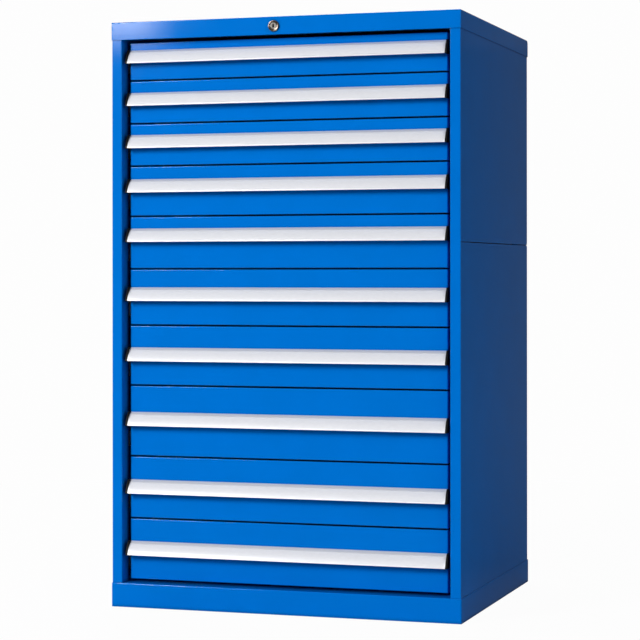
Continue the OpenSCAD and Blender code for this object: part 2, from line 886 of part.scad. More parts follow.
// Carries the rod's rear end on the back panel
module rod_bracket() {
    half = 15;
    plate = [rod_bracket_y, rod_bracket_y + bar_t];
    low = lock_z - half;
    difference() {
        union() {
            span([-half, half], plate, [low, lock_z + rod_r + 6]);
            span([-half, half], [rod_bracket_y, back_y], [low, low + guide_t]);
            span([-half, half], [back_y - guide_t, back_y], [low - half, low + guide_t]);
        }
        bar_along(rod_r + lock_slip, [plate[0] - over, plate[1] + over], z = lock_z);
    }
}

module lock_guides() {
    color(zinc) in_housing() translate([lock_x, 0, 0]) {
        for (i = guided_drawers) {
            translate([0, 0, catch_z(i) + catch_t + 6]) bar_guide();
        }
        rod_bracket();
    }
}

base_plinth();
floor_pan();
left_lower_side_panel();
left_upper_side_panel();
right_lower_side_panel();
right_upper_side_panel();
back_panel();
top_cover();
top_rail();
left_front_post();
right_front_post();
rear_posts();
panel_screws();
left_runners();
right_runners();
lock_housing();
lock_plug();
lock_rod();
lock_bar();
lock_guides();
for (i = [0 : drawers - 1]) {
    drawer_front(i);
    drawer_tray(i);
    drawer_grip(i);
    drawer_carriages(i);
}
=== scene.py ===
"""Looks of the steel drawer cabinet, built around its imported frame. Metres, +Z up, drawers towards -Y."""

import math

import bmesh
import bpy
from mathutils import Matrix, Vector


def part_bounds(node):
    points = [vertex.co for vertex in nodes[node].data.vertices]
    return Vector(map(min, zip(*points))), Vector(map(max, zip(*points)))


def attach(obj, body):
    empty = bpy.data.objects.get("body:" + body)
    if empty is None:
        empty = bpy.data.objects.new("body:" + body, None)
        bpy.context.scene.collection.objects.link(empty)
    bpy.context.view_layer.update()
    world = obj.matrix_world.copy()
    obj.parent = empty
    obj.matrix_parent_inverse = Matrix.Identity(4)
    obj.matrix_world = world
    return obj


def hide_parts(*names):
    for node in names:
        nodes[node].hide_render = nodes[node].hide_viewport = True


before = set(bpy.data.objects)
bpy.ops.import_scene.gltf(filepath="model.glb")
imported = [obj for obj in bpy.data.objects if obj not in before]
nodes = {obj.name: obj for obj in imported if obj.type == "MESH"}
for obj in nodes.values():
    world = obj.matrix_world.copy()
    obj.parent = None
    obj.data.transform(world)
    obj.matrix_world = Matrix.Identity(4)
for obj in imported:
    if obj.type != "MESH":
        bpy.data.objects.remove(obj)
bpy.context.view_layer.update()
MM = 0.001
DRAWERS = [f"{i:02d}" for i in range(1, 11)]


# ---- Node helpers ----

# a Mix node holds several sockets of one name, so they are given by number
FACTOR = 0
NUMBER_A = 2
NUMBER_B = 3
COLOUR_A = 6
COLOUR_B = 7
MIXED_COLOUR = 2


def linear(colour):
    """An sRGB hex colour as the linear RGBA that a shader takes."""
    channels = [int(colour[i:i + 2], 16) / 255 for i in (1, 3, 5)]
    return [c / 12.92 if c <= 0.04045 else ((c + 0.055) / 1.055) ** 2.4 for c in channels] + [1.0]


def lumps(size):
    """The scale of a noise whose lumps are about size mm across."""
    return 1 / (size * MM)


def add(tree, kind, inputs=None, **settings):
    """Adds a node with its settings. An input takes a value, a socket, or a node for its first output."""
    node = tree.nodes.new(kind)
    for name, value in settings.items():
        setattr(node, name, value)
    for key, value in (inputs or {}).items():
        if isinstance(value, bpy.types.Node):
            value = value.outputs[0]
        if isinstance(value, bpy.types.NodeSocket):
            tree.links.new(value, node.inputs[key])
        else:
            node.inputs[key].default_value = value
    return node


def new_material(name):
    """An empty material, its node tree, and the object's own coordinates in it."""
    material = bpy.data.materials.new(name)
    material.use_nodes = True
    tree = material.node_tree
    tree.nodes.clear()
    return material, tree, add(tree, "ShaderNodeTexCoord").outputs["Object"]


# ---- Materials ----

def powder_coat(name, colour, shade, roughness, specular):
    """Baked powder coat: a smooth film with a fine orange peel, over sheet steel that isn't quite flat."""
    material, tree, place = new_material(name)
    # the film is a little thinner in broad patches, which shifts its shade slightly
    film = add(tree, "ShaderNodeTexNoise", {"Vector": place, "Scale": lumps(90), "Detail": 3})
    patches = add(tree, "ShaderNodeMapRange", {"Value": film, "From Min": 0.35, "From Max": 0.65})
    tint = add(tree, "ShaderNodeMix", {
        FACTOR: patches, COLOUR_A: linear(colour), COLOUR_B: linear(shade),
    }, data_type="RGBA")
    # an ambient occlusion mask darkens the film in creases and under ledges: painted shade where shadow
    # falls there
    crease_shade_share = 0.75
    creases = add(tree, "ShaderNodeAmbientOcclusion", {"Distance": 8 * MM}, samples=4)
    crease_shaded_tint = add(tree, "ShaderNodeMix", {
        FACTOR: crease_shade_share, COLOUR_A: tint.outputs[MIXED_COLOUR], COLOUR_B: creases,
    }, data_type="RGBA", blend_type="MULTIPLY")
    # fingers and cloths leave the gloss slightly uneven
    unevenness = 0.03
    smears = add(tree, "ShaderNodeTexNoise", {"Vector": place, "Scale": lumps(35), "Detail": 4})
    gloss = add(tree, "ShaderNodeMapRange", {
        "Value": smears, "To Min": roughness - unevenness, "To Max": roughness + unevenness,
    })
    # folded and cut edges keep a small radius under the paint
    edges = add(tree, "ShaderNodeBevel", {"Radius": 0.9 * MM}, samples=6)
    # sheet waves of about 180 mm, then orange peel of about 2 mm, which is near its real size
    sheet = add(tree, "ShaderNodeTexNoise", {"Vector": place, "Scale": lumps(180), "Detail": 1})
    waves = add(tree, "ShaderNodeBump", {"Height": sheet, "Distance": 0.05 * MM, "Normal": edges})
    grain = add(tree, "ShaderNodeTexNoise", {"Vector": place, "Scale": lumps(2), "Detail": 1})
    peel = add(tree, "ShaderNodeBump", {"Height": grain, "Distance": 0.001 * MM, "Normal": waves})
    shader = add(tree, "ShaderNodeBsdfPrincipled", {
        "Base Color": crease_shaded_tint.outputs[MIXED_COLOUR], "Roughness": gloss, "Normal": peel,
        "IOR": 1.5, "Specular IOR Level": specular,
    })
    add(tree, "ShaderNodeOutputMaterial", {"Surface": shader})
    return material


def zinc_plating(name):
    """Zinc on pressed steel: light grey, half dull, faintly clouded, with fine rolling lines along Y."""
    material, tree, place = new_material(name)
    clouds = add(tree, "ShaderNodeTexNoise", {"Vector": place, "Scale": lumps(12), "Detail": 4})
    tint = add(tree, "ShaderNodeMix", {
        FACTOR: clouds, COLOUR_A: linear("#a9adb3"), COLOUR_B: linear("#c9ccd0"),
    }, data_type="RGBA")
    gloss = add(tree, "ShaderNodeMapRange", {"Value": clouds, "To Min": 0.34, "To Max": 0.48})
    drawn_out = add(tree, "ShaderNodeMapping", {"Vector": place, "Scale": (1, 1 / 60, 1)})
    lines = add(tree, "ShaderNodeTexNoise", {"Vector": drawn_out, "Scale": lumps(1.5), "Detail": 2})
    rolled = add(tree, "ShaderNodeBump", {"Height": lines, "Distance": 0.01 * MM})
    shader = add(tree, "ShaderNodeBsdfPrincipled", {
        "Base Color": tint.outputs[MIXED_COLOUR], "Metallic": 0.6, "Roughness": gloss, "Normal": rolled,
    })
    add(tree, "ShaderNodeOutputMaterial", {"Surface": shader})
    return material


def anodised_aluminium(name):
    """Satin anodised extrusion: even silver with faint die lines along its length (X)."""
    material, tree, place = new_material(name)
    drawn_out = add(tree, "ShaderNodeMapping", {"Vector": place, "Scale": (1 / 400, 1, 1)})
    lines = add(tree, "ShaderNodeTexNoise", {"Vector": drawn_out, "Scale": lumps(0.6), "Detail": 3})
    tint = add(tree, "ShaderNodeMix", {
        FACTOR: lines, COLOUR_A: linear("#d4d5da"), COLOUR_B: linear("#e2e3e7"),
    }, data_type="RGBA")
    gloss = add(tree, "ShaderNodeMapRange", {"Value": lines, "To Min": 0.45, "To Max": 0.55})
    drawn = add(tree, "ShaderNodeBump", {"Height": lines, "Distance": 0.008 * MM})
    # the matt etch under the anodising scatters most of the light as paint does
    shader = add(tree, "ShaderNodeBsdfPrincipled", {
        "Base Color": tint.outputs[MIXED_COLOUR], "Metallic": 0.42, "Specular IOR Level": 0.3,
        "Roughness": gloss, "Normal": drawn,
    })
    add(tree, "ShaderNodeOutputMaterial", {"Surface": shader})
    return material


def label_strip(name):
    """Blank paper under a clear PVC strip: soft white with paper fibre, and a smooth shine over it."""
    material, tree, place = new_material(name)
    drawn_out = add(tree, "ShaderNodeMapping", {"Vector": place, "Scale": (1 / 3, 1, 1)})
    fibre = add(tree, "ShaderNodeTexNoise", {"Vector": drawn_out, "Scale": lumps(3), "Detail": 5})
    tint = add(tree, "ShaderNodeMix", {
        FACTOR: fibre, COLOUR_A: linear("#dadbe0"), COLOUR_B: linear("#e5e6ea"),
    }, data_type="RGBA")
    strip = add(tree, "ShaderNodeTexNoise", {"Vector": place, "Scale": lumps(60), "Detail": 1})
    waves = add(tree, "ShaderNodeBump", {"Height": strip, "Distance": 0.04 * MM})
    shader = add(tree, "ShaderNodeBsdfPrincipled", {
        "Base Color": tint.outputs[MIXED_COLOUR], "Roughness": 0.45, "Normal": waves,
        "Coat Weight": 0.5, "Coat Roughness": 0.2,
    })
    add(tree, "ShaderNodeOutputMaterial", {"Surface": shader})
    return material


def moulded_plastic(name):
    """Black injection-moulded plastic with a fine spark-eroded grain."""
    material, tree, place = new_material(name)
    grain = add(tree, "ShaderNodeTexNoise", {"Vector": place, "Scale": lumps(0.8), "Detail": 2})
    tint = add(tree, "ShaderNodeMix", {
        FACTOR: grain, COLOUR_A: linear("#030304"), COLOUR_B: linear("#070708"),
    }, data_type="RGBA")
    eroded = add(tree, "ShaderNodeBump", {"Height": grain, "Distance": 0.02 * MM})
    shader = add(tree, "ShaderNodeBsdfPrincipled", {
        "Base Color": tint.outputs[MIXED_COLOUR], "Roughness": 0.5, "Specular IOR Level": 0.1,
        "Normal": eroded,
    })
    add(tree, "ShaderNodeOutputMaterial", {"Surface": shader})
    return material


def nickel_plate(name, dark, light, roughness):
    """Nickel plate on a turned lock part: warm grey, slightly smeared, over faint tool marks."""
    material, tree, place = new_material(name)
    smear = add(tree, "ShaderNodeTexNoise", {"Vector": place, "Scale": lumps(4), "Detail": 3})
    tint = add(tree, "ShaderNodeMix", {
        FACTOR: smear, COLOUR_A: linear(dark), COLOUR_B: linear(light),
    }, data_type="RGBA")
    marks = add(tree, "ShaderNodeTexNoise", {"Vector": place, "Scale": lumps(0.5), "Detail": 2})
    turned = add(tree, "ShaderNodeBump", {"Height": marks, "Distance": 0.006 * MM})
    shader = add(tree, "ShaderNodeBsdfPrincipled", {
        "Base Color": tint.outputs[MIXED_COLOUR], "Metallic": 1.0, "Roughness": roughness, "Normal": turned,
    })
    add(tree, "ShaderNodeOutputMaterial", {"Surface": shader})
    return material


blue = powder_coat("powder_coat_sky_blue", "#0072d2", "#0070ce", roughness=0.06, specular=0.2)
grey = powder_coat("powder_coat_light_grey", "#c4c7ca", "#bec2c6", roughness=0.45, specular=0.4)
zinc = zinc_plating("bright_zinc_plating")
aluminium = anodised_aluminium("satin_anodised_aluminium")
paper = label_strip("paper_label_under_clear_strip")
plastic = moulded_plastic("black_moulded_plastic")
nickel = nickel_plate("nickel_plated_bezel", "#6d655d", "#80776e", 0.14)
dull_nickel = nickel_plate("nickel_plated_lock_face", "#65615d", "#73706b", 0.5)
# the key slot's inside is painted near black: painted shade for the dark keyway
slot_dark = nickel_plate("key_slot_painted_shade", "#020202", "#050504", 0.6)


# ---- Meshes and pieces ----

def as_piece(name, mesh, body, replaced=()):
    """A finished mesh as a piece that rides on a body."""
    piece = bpy.data.objects.new(name, mesh)
    bpy.context.scene.collection.objects.link(piece)
    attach(piece, body)
    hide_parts(*replaced)


def as_mesh(name, bm, materials, sharp_deg=32):
    """A bmesh as a mesh with its materials, smooth except across edges sharper than sharp_deg."""
    bmesh.ops.remove_doubles(bm, verts=bm.verts, dist=1e-7)
    bmesh.ops.recalc_face_normals(bm, faces=bm.faces)
    for face in bm.faces:
        face.smooth = True
    for edge in bm.edges:
        if len(edge.link_faces) != 2 or edge.calc_face_angle(0) > math.radians(sharp_deg):
            edge.smooth = False
    mesh = bpy.data.meshes.new(name)
    bm.to_mesh(mesh)
    bm.free()
    for material in materials:
        mesh.materials.append(material)
    return mesh


def merged(node):
    """A copy of a node's mesh with its split vertices joined again."""
    bm = bmesh.new()
    bm.from_mesh(nodes[node].data)
    bmesh.ops.remove_doubles(bm, verts=bm.verts, dist=1e-6)
    return bm


def loose_parts(bm):
    """The faces of each separate part of a mesh."""
    left = set(bm.faces)
    while left:
        part, queue = [], [left.pop()]
        while queue:
            face = queue.pop()
            part.append(face)
            for edge in face.edges:
                for near in edge.link_faces:
                    if near in left:
                        left.remove(near)
                        queue.append(near)
        yield part


def part_box(part):
    """The lowest and highest corner of some faces."""
    points = [vert.co for face in part for vert in face.verts]
    return [Vector([pick(point[k] for point in points) for k in range(3)]) for pick in (min, max)]


def grow(name, base, tree, settings):
    """The plain mesh that a node tree makes on a base mesh, with its named inputs set."""
    holder = bpy.data.objects.new(name, base)
    bpy.context.scene.collection.objects.link(holder)
    modifier = holder.modifiers.new("grow", "NODES")
    modifier.node_group = tree
    for item in tree.interface.items_tree:
        if item.in_out == "INPUT" and item.name in settings:
            modifier[item.identifier] = settings[item.name]
    graph = bpy.context.evaluated_depsgraph_get()
    mesh = bpy.data.meshes.new_from_object(holder.evaluated_get(graph), depsgraph=graph)
    mesh.name = name
    bpy.data.objects.remove(holder)
    return mesh


# ---- Outlines, in mm ----

def on_arc(centre, radius, angle):
    """The point on an arc at an angle in degrees."""
    turn = math.radians(angle)
    return centre[0] + radius * math.cos(turn), centre[1] + radius * math.sin(turn)


def arc(centre, radius, start, end, steps):
    """Points on an arc from one angle to another, in degrees."""
    return [on_arc(centre, radius, start + (end - start) * k / steps) for k in range(steps + 1)]


def square_cut(points):
    """Points as corners that keep no radius."""
    return [(x, y, 0) for x, y in points]


def rounded(corners):
    """An outline of (x, y, radius) corners with each corner rounded by its own radius."""
    steps = 4
    # a corner takes up less than half of each side that meets there
    most = 0.49
    outline = []
    for k, (x, y, r) in enumerate(corners):
        here = Vector((x, y))
        before = Vector(corners[k - 1][:2]) - here
        after = Vector(corners[(k + 1) % len(corners)][:2]) - here
        if r <= 0:
            outline.append((x, y))
            continue
        half = before.angle(after) / 2
        reach = min(r / math.tan(half), before.length * most, after.length * most)
        a = here + before.normalized() * reach
        b = here + after.normalized() * reach
        for s in range(steps + 1):
            t = s / steps
            point = a * (1 - t) ** 2 + here * 2 * t * (1 - t) + b * t ** 2
            outline.append((point.x, point.y))
    return outline


# ---- Extruded grips ----

# Sections are drawn in mm as (out from the drawer's front, up from the grip's top edge).
# The grip's face is an arc round GRIP_CENTRE, and a cap's face is an arc of its own.
GRIP_CENTRE = (-28.47, -41.1)
GRIP_R = 50.0
GRIP_INNER_R = GRIP_R - 2.0
CAP_R = 80.0
# how far a cap's flat top reaches out before its curved face starts
CAP_TOP = 7.0
CAP_THICK = 4.0
# how far a cap stands above the grip
CAP_PROUD = 0.5
# how much shorter than the extrusion its label strip is
LABEL_SHORT = 9.0
# one ridge along the grip's face, as degrees from its middle and mm above the face
RIDGE = ((0.75, 0), (0.45, 0.42), (0, 0.5), (-0.45, 0.42), (-0.75, 0))


def section_tree():
    """Runs the section drawn by an object's own mesh along X, between two ends, and closes it."""
    tree = bpy.data.node_groups.new("extrude_section", "GeometryNodeTree")
    for socket, kind in (
        ("Section", "NodeSocketGeometry"), ("Length", "NodeSocketFloat"),
        ("Top edge", "NodeSocketVector"), ("Finish", "NodeSocketMaterial"),
    ):
        tree.interface.new_socket(socket, in_out="INPUT", socket_type=kind)
    tree.interface.new_socket("Extrusion", in_out="OUTPUT", socket_type="NodeSocketGeometry")
    given = add(tree, "NodeGroupInput").outputs
    half = add(tree, "ShaderNodeMath", {0: given["Length"], 1: 0.5}, operation="MULTIPLY")
    less = add(tree, "ShaderNodeMath", {0: half, 1: -1.0}, operation="MULTIPLY")
    line = add(tree, "GeometryNodeCurvePrimitiveLine", {
        "Start": add(tree, "ShaderNodeCombineXYZ", {"X": less}),
        "End": add(tree, "ShaderNodeCombineXYZ", {"X": half}),
    })
    outline = add(tree, "GeometryNodeMeshToCurve", {"Mesh": given["Section"]})
    run = add(tree, "GeometryNodeCurveToMesh", {
        "Curve": line, "Profile Curve": outline, "Fill Caps": True,
    })
    placed = add(tree, "GeometryNodeTransform", {"Geometry": run, "Translation": given["Top edge"]})
    real = add(tree, "GeometryNodeRealizeInstances", {"Geometry": placed})
    finished = add(tree, "GeometryNodeSetMaterial", {"Geometry": real, "Material": given["Finish"]})
    add(tree, "NodeGroupOutput", {"Extrusion": finished})
    return tree


def at_height(up, radius=GRIP_R):
    """The angle round the grip's face at a height."""
    return math.degrees(math.asin((up - GRIP_CENTRE[1]) / radius))


def at_reach(out, radius=GRIP_R):
    """The angle round the grip's face at a distance from the drawer's front."""
    return math.degrees(math.acos((out - GRIP_CENTRE[0]) / radius))


def ridge(up):
    """The ridge that holds one edge of the label, at a height on the face."""
    middle = at_height(up)
    return [on_arc(GRIP_CENTRE, GRIP_R + rise, middle + off) for off, rise in RIDGE]


def grip_outline():
    """The grip's section: a curved face with two ridges, a lip below and a fixing web behind."""
    face = arc(GRIP_CENTRE, GRIP_R, at_reach(0.4), at_height(-4.2), 6)
    face += ridge(-5.0)
    face += arc(GRIP_CENTRE, GRIP_R, at_height(-6), at_height(-23), 14)
    face += ridge(-23.9)
    face += arc(GRIP_CENTRE, GRIP_R, at_height(-24.8), at_height(-26.4), 3)
    lip = [(19.2, -27, 0.5), (13.5, -27, 0.7), (13.5, -25, 0.7)]
    inner_face = arc(
        GRIP_CENTRE, GRIP_INNER_R, at_height(-25, GRIP_INNER_R), at_reach(2, GRIP_INNER_R), 16
    )
    web = [(2, -12, 0.6), (0, -12, 0.2), (0, -0.1, 0.2)]
    return list(reversed(rounded(square_cut(face) + lip + square_cut(inner_face) + web)))


def label_outline():
    """The label strip's section, lying on the grip's face between its two ridges."""
    # its back lies just off the face, and its front stays below the ridges
    back_r = GRIP_R + 0.02
    front_r = GRIP_R + 0.35
    top = at_height(-5.9)
    low = at_height(-23.1)
    outer = arc(GRIP_CENTRE, front_r, top, low, 16)
    return list(reversed(outer + arc(GRIP_CENTRE, back_r, low, top, 16)))


def run_section(name, outline, length, top_edge, finish):
    """An outline run along X to a length, with its top edge at a point."""
    section = bpy.data.meshes.new(name + "_section")
    edges = [(k, (k + 1) % len(outline)) for k in range(len(outline))]
    section.from_pydata([(out * MM, -up * MM, 0) for out, up in outline], edges, [])
    mesh = grow(name, section, extrude_section, {
        "Length": length, "Top edge": top_edge, "Finish": finish,
    })
    bm = bmesh.new()
    bm.from_mesh(mesh)
    return as_mesh(name, bm, [finish])


def end_caps(name, grip_low, grip_high):
    """The two moulded caps that close a grip's ends, each a little fuller than the section it covers."""
    top = grip_high.z - CAP_PROUD * MM
    reach = (grip_high.y - grip_low.y) / MM
    low = (grip_low.z - top) / MM
    # the curved face runs from the cap's top to its lowest, furthest corner on one radius
    start = Vector((CAP_TOP, CAP_PROUD))
    end = Vector((reach, low))
    chord = end - start
    rise = math.sqrt(CAP_R ** 2 - chord.length_squared / 4)
    centre = (start + end) / 2 + Vector((chord.y, -chord.x)).normalized() * rise
    first, last = (math.degrees(math.atan2(p.y - centre.y, p.x - centre.x)) for p in (start, end))
    face = arc(centre, CAP_R, first, last, 12)
    outline = rounded(
        [(0, CAP_PROUD, 0.6), (*face[0], 1.2)] + square_cut(face[1:-1]) + [(*face[-1], 0.8), (0, low, 0.6)]
    )
    bm = bmesh.new()
    for side in (-1, 1):
        ends = []
        for x in (grip_high.x - CAP_THICK * MM, grip_high.x):
            points = [(side * x, grip_high.y - out * MM, top + up * MM) for out, up in outline]
            ends.append(bm.faces.new([bm.verts.new(point) for point in points]))
        inner, outer = (list(cut.verts) for cut in ends)
        for k in range(len(outline)):
            n = (k + 1) % len(outline)
            bm.faces.new((inner[k], inner[n], outer[n], outer[k]))
        rims = list(ends[0].edges) + list(ends[1].edges)
        bmesh.ops.bevel(bm, geom=rims, offset=0.6 * MM, segments=3, profile=0.5, affect="EDGES")
    return as_mesh(name, bm, [plastic])


def grip(number):
    """A drawer's grip: the extrusion, the label strip on it and its two end caps."""
    node = f"drawer_{number}_grip"
    body = f"drawer_{number}"
    low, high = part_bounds(node)
    top_edge = (0, high.y, high.z - CAP_PROUD * MM)
    length = high.x - low.x - 2 * CAP_THICK * MM
    name = f"grip_{number}_extrusion"
    as_piece(name, run_section(name, grip_outline(), length, top_edge, aluminium), body, [node])
    name = f"grip_{number}_label"
    strip = run_section(name, label_outline(), length - LABEL_SHORT * MM, top_edge, paper)
    as_piece(name, strip, body)
    name = f"grip_{number}_caps"
    as_piece(name, end_caps(name, low, high), body)


extrude_section = section_tree()
for number in DRAWERS:
    grip(number)


# ---- Drawer trays ----

# the rails outside a tray's walls and the catch in its middle are narrower than this
ZINC_PARTS_BELOW = 100 * MM


def tray(number):
    """A drawer's painted tray with its zinc-plated rails and catch, in the shape that it has already."""
    name = f"tray_{number}"
    node = f"drawer_{number}_tray"
    bm = merged(node)
    for part in loose_parts(bm):
        low, high = part_box(part)
        if high.x - low.x < ZINC_PARTS_BELOW:
            for face in part:
                face.material_index = 1
    as_piece(name, as_mesh(name, bm, [grey, zinc]), f"drawer_{number}", [node])


for number in DRAWERS:
    tray(number)


# ---- Turned shapes ----

def circle(radius):
    """A round edge for ring(), in mm."""
    return lambda turn: radius


def hexagon(corner_r, cut):
    """A hexagon's edge for ring(), in mm, with its corners cut back to a radius."""
    def edge(turn):
        flat = corner_r * math.cos(math.pi / 6)
        return min(flat / math.cos(turn % (math.pi / 3) - math.pi / 6), cut)
    return edge


def oblong(width, height):
    """An upright oblong's edge for ring(), in mm."""
    def edge(turn):
        across = width / 2 / max(abs(math.cos(turn)), 1e-6)
        return min(across, height / 2 / max(abs(math.sin(turn)), 1e-6))
    return edge


def cross(reach, arm):
    """The edge of a cross recess for ring(), in mm: its reach and the width of its arms."""
    def edge(turn):
        off = (turn + math.pi / 4) % (math.pi / 2) - math.pi / 4
        return min(reach, arm / 2 / max(abs(math.sin(off)), 1e-6))
    return edge


def ring(centre, y, edge, steps):
    """Points round the Y axis through centre, y mm along it, as far out as edge gives for each turn."""
    points = []
    for k in range(steps):
        turn = 2 * math.pi * k / steps
        reach = edge(turn) * MM
        points.append((
            centre.x + reach * math.cos(turn), centre.y + y * MM, centre.z + reach * math.sin(turn),
        ))
    return points


def bridge(bm, rings, material=0, cap=False):
    """Faces between rings of points that have the same count, and over the last one if cap is set."""
    rings = [[bm.verts.new(point) for point in points] for points in rings]
    for one, two in zip(rings, rings[1:]):
        for k in range(len(one)):
            n = (k + 1) % len(one)
            bm.faces.new((one[k], one[n], two[n], two[k])).material_index = material
    if cap:
        bm.faces.new(rings[-1]).material_index = material


# ---- Lock ----

# how far behind the plane of the posts' faces the barrel and the plug end, in mm
LOCK_END = 20
# the lock's axis crosses that plane here
lock_low, lock_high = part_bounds("lock_housing")
LOCK = (lock_low + lock_high) / 2
LOCK.y = lock_high.y - LOCK_END * MM


def bezel_and_nut():
    """The lock's turned bezel with its shallow dish, its barrel, and the chamfered nut behind the cover."""
    bore_r = 6.55
    barrel_r = 9
    steps = 96
    # a lip round the plug, a shallow dish, and a full round rim
    lip = [(bore_r, -4.2), (6.7, -4.4), (6.95, -4.45), (7.2, -4.3), (7.5, -4.0), (7.8, -3.95)]
    rim = arc((9.5, -3.5), 1.5, -160, 0, 14)
    back = [(11, -1.7), (10.8, -1.5), (barrel_r, -1.5)]
    barrel = [(barrel_r, LOCK_END - 0.4), (8.6, LOCK_END), (bore_r, LOCK_END)]
    profile = [(bore_r, LOCK_END)] + lip + rim + back + barrel
    bm = bmesh.new()
    bridge(bm, [ring(LOCK, y, circle(r), steps) for r, y in profile])
    # the nut's corners are chamfered at both ends, and its bore clears the barrel
    corner_r = 12
    chamfer_r = 11.1
    ends = (1.5, 5.5)
    outside = [(ends[0], chamfer_r), (1.9, corner_r), (5.1, corner_r), (ends[1], chamfer_r)]
    nut = [ring(LOCK, y, hexagon(corner_r, cut), steps) for y, cut in outside]
    bore = [ring(LOCK, y, circle(barrel_r + 0.05), steps) for y in reversed(ends)]
    bridge(bm, nut + bore + [nut[0]])
    return as_mesh("lock_bezel", bm, [nickel], sharp_deg=40)


def plug_with_slot():
    """The plug that turns in the barrel: a dished face with the slot for the key, painted near black inside
    as the shade in the hole.
    """
    plug_r = 6.5
    steps = 64
    outer = [(plug_r, LOCK_END), (plug_r, -4.1), (6.3, -4.4), (6.0, -4.5), (5.0, -4.45)]
    turned = [ring(LOCK, y, circle(r), steps) for r, y in outer]
    mouth = ring(LOCK, -4.4, oblong(3.6, 7.2), steps)
    slot = [ring(LOCK, y, oblong(3.2, 6.8), steps) for y in (-4.1, 9)]
    bm = bmesh.new()
    bm.faces.new([bm.verts.new(point) for point in turned[0]])
    bridge(bm, turned + [mouth])
    bridge(bm, [mouth] + slot, material=1, cap=True)
    return as_mesh("lock_plug_face", bm, [dull_nickel, slot_dark], sharp_deg=40)


as_piece("lock_bezel", bezel_and_nut(), "cabinet", ["lock_housing"])
as_piece("lock_plug_face", plug_with_slot(), "lock_plug", ["lock_plug"])


# ---- Screws in the rear flanges ----

# each side panel has one row
SCREWS_PER_ROW = 4
# height of a screw's head, which stands out from the flange
HEAD_HEIGHT = 1.4 * MM


def pan_head_screw():
    """A pan-head screw with a cross recess and a shank, pointing along +Y, as a mesh round the origin."""
    steps = 48
    origin = Vector((0, 0, 0))
    turned = [(1.8, -8), (2, 0), (4, 0), (4, 0.4), (3.75, 0.8), (3.1, 1.15), (2.3, 1.35)]
    rings = [ring(origin, y, circle(r), steps) for r, y in turned]
    recess = [ring(origin, 1.3, cross(1.9, 0.9), steps), ring(origin, 0.3, cross(1.2, 0.6), steps)]
    bm = bmesh.new()
    bridge(bm, rings + recess, cap=True)
    return as_mesh("screw_head", bm, [])


def screw_tree():
    """Sets the screw that an object's own mesh gives in a straight row, at equal steps."""
    tree = bpy.data.node_groups.new("screw_row", "GeometryNodeTree")
    for socket, kind in (
        ("Screw", "NodeSocketGeometry"), ("Count", "NodeSocketInt"), ("First", "NodeSocketVector"),
        ("Step", "NodeSocketVector"), ("Finish", "NodeSocketMaterial"),
    ):
        tree.interface.new_socket(socket, in_out="INPUT", socket_type=kind)
    tree.interface.new_socket("Screws", in_out="OUTPUT", socket_type="NodeSocketGeometry")
    given = add(tree, "NodeGroupInput").outputs
    row = add(tree, "GeometryNodeMeshLine", {
        "Count": given["Count"], "Start Location": given["First"], "Offset": given["Step"],
    }, mode="OFFSET")
    placed = add(tree, "GeometryNodeInstanceOnPoints", {"Points": row, "Instance": given["Screw"]})
    real = add(tree, "GeometryNodeRealizeInstances", {"Geometry": placed})
    finished = add(tree, "GeometryNodeSetMaterial", {"Geometry": real, "Material": given["Finish"]})
    add(tree, "NodeGroupOutput", {"Screws": finished})
    return tree


def rear_screws():
    """All the screws in the rear flanges, row by row, where the frame has them."""
    solids = merged("panel_screws")
    spots = []
    for low, high in map(part_box, loose_parts(solids)):
        # with x rounded, the screws of one side share it and sort by height
        spots.append((round(low.x + high.x, 5) / 2, high.y - HEAD_HEIGHT, (low.z + high.z) / 2))
    solids.free()
    spots.sort()
    screw_row = screw_tree()
    screw = pan_head_screw()
    bm = bmesh.new()
    for k in range(0, len(spots), SCREWS_PER_ROW):
        first = Vector(spots[k])
        step = Vector(spots[k + 1]) - first
        bm.from_mesh(grow(f"screw_row_{k}", screw.copy(), screw_row, {
            "Count": SCREWS_PER_ROW, "First": first, "Step": step, "Finish": zinc,
        }))
    return as_mesh("rear_screws", bm, [zinc])


as_piece("rear_screws", rear_screws(), "cabinet", ["panel_screws"])


# ---- Finishes of the pieces that keep their own shape ----

ZINC_NODES = ("_carriages", "_runners", "_rod", "_bar", "_guides")
REPLACED = ("_grip", "_tray", "_screws", "lock_housing", "lock_plug")

for name, piece in nodes.items():
    if not name.endswith(REPLACED):
        piece.data.materials.clear()
        piece.data.materials.append(zinc if name.endswith(ZINC_NODES) else blue)


# ---- Floor, light and camera ----

FLOOR_R = 2.4
# how white the camera sees the floor and the background
FLOOR_WHITE = 0.97
BACKGROUND_WHITE = 0.985
# the directions that the polished coat mirrors, as (axis, from, to, level before, level after)
STUDIO = {
    # the rear wall glows in one narrow stretch, between the dark to its right and a dark corner
    "rear": ("X", 0.19, 0.27, 0.127, 0.015),
    "corner": ("X", 0.1, 0.19, 0.15, 1.0),
    # its floor end is darker but for the skirting, and the wall over the rail is brighter
    "low": ("Z", -0.18, -0.07, 0.5, 1.0),
    "skirting": ("Z", -0.165, -0.138, 2.65, 1.0),
    "high": ("Z", 0.1045, 0.108, 1.0, 1.38),
    # the half of the studio in front of the cabinet is darker
    "behind": ("Y", -0.2, 0.2, 0.1, 1.0),
    # a pale ceiling, a pale ground in front of the cabinet, and a pale wall far to the left
    "ceiling": ("Z", 0.3, 0.9, 0.0, 0.3),
    "below": ("Z", -0.6, -0.35, 0.6, 0.0),
    "front": ("Y", 0.0, 0.3, 1.0, 0.1),
    "left": ("X", -0.9, -0.6, 0.4, 0.0),
}


def stage(name, mesh):
    """A mesh as a part of the stage."""
    piece = bpy.data.objects.new(name, mesh)
    bpy.context.scene.collection.objects.link(piece)


